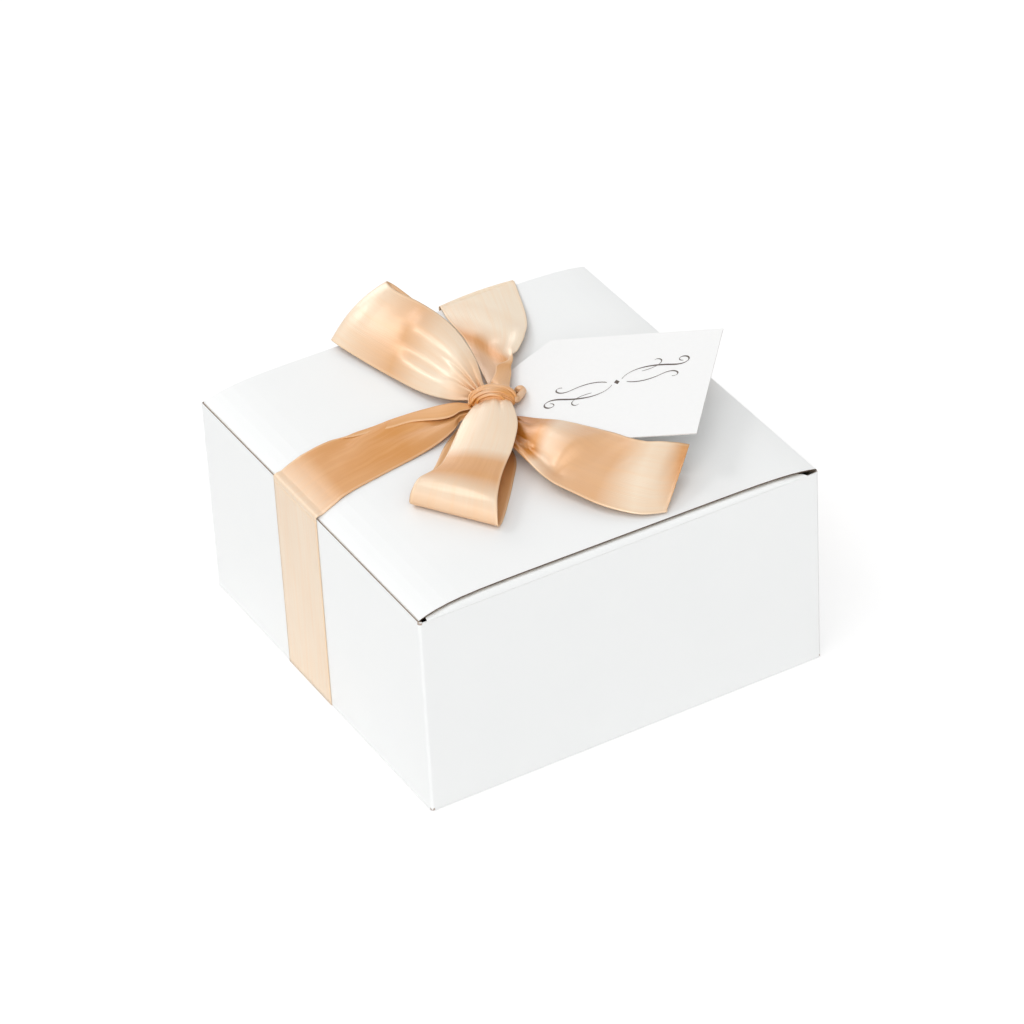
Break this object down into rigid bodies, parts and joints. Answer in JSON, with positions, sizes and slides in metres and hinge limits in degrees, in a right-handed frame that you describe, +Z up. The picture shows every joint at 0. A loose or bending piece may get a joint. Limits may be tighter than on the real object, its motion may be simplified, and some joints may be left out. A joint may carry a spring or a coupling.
{
  "type": "favor box",
  "caption": "Square tuck-top favor box tied with a wide satin ribbon and bow, with a blank gift tag under the knot.",
  "frame": {"origin": "middle of the bottom, on the underside of the ribbon that the carton stands on", "axes": "+Z up, -Y towards the front wall that the lid tucks into, +Y towards the hinge wall, +X to the right seen from the front"},
  "size_m": [0.2081, 0.215, 0.132],
  "materials": {
    "carton_board": "white clay-coated board, matt, with raw kraft edges",
    "satin_ribbon": "champagne satin weave with woven selvedges",
    "tag_paper": "heavy white uncoated card"
  },
  "bodies": {
    "carton": {"front_wall": "carton_board", "back_wall": "carton_board", "left_wall": "carton_board", "right_wall": "carton_board", "glue_tab": "carton_board", "bottom_front_flap": "carton_board", "bottom_back_flap": "carton_board", "bottom_left_flap": "carton_board", "bottom_right_flap": "carton_board"},
    "lid": {"lid_panel": "carton_board"},
    "tuck": {"tuck_flap": "carton_board"},
    "dust_left": {"dust_flap_left": "carton_board"},
    "dust_right": {"dust_flap_right": "carton_board"},
    "ribbon_band": {"ribbon_front_drop": "satin_ribbon", "ribbon_bottom_run": "satin_ribbon", "ribbon_back_rise": "satin_ribbon"},
    "bow": {"ribbon_front_run": "satin_ribbon", "ribbon_back_run": "satin_ribbon", "bow_loop_left": "satin_ribbon", "bow_loop_front": "satin_ribbon", "bow_tail_left": "satin_ribbon", "bow_tail_right": "satin_ribbon", "knot_core": "satin_ribbon", "knot_wrap": "satin_ribbon", "tag_hanger": "satin_ribbon"},
    "tag": {"tag_card": "tag_paper"}
  },
  "joints": [
    {"name": "lid_hinge", "type": "hinge", "parent": "carton", "child": "lid", "pos_m": [0, 0.102, 0.10255], "axis": [-1, 0, 0], "range_deg": [0, 105]},
    {"name": "tuck_fold", "type": "hinge", "parent": "lid", "child": "tuck", "pos_m": [0, -0.1005, 0.1025], "axis": [1, 0, 0], "range_deg": [0, 40]},
    {"name": "dust_fold_left", "type": "hinge", "parent": "carton", "child": "dust_left", "pos_m": [-0.102, 0, 0.10285], "axis": [0, -1, 0], "range_deg": [0, 90]},
    {"name": "dust_fold_right", "type": "hinge", "parent": "carton", "child": "dust_right", "pos_m": [0.102, 0, 0.10285], "axis": [0, 1, 0], "range_deg": [0, 90]},
    {"name": "band_slide", "type": "slide", "parent": "carton", "child": "ribbon_band", "axis": [1, 0, 0], "range_m": [-0.25, 0]},
    {"name": "bow_slide", "type": "slide", "parent": "lid", "child": "bow", "axis": [1, 0, 0], "range_m": [-0.25, 0]},
    {"name": "tag_swing", "type": "hinge", "parent": "bow", "child": "tag", "pos_m": [-0.016, 0.0154, 0.1122], "axis": [-0.1167, -0.088, 0.9893], "range_deg": [0, 5]}
  ],
  "couplings": [
    {"joint": "dust_fold_left", "follows": "lid_hinge", "ratio": 0.8},
    {"joint": "dust_fold_right", "follows": "lid_hinge", "ratio": 0.8},
    {"joint": "bow_slide", "follows": "band_slide", "ratio": 1}
  ]
}
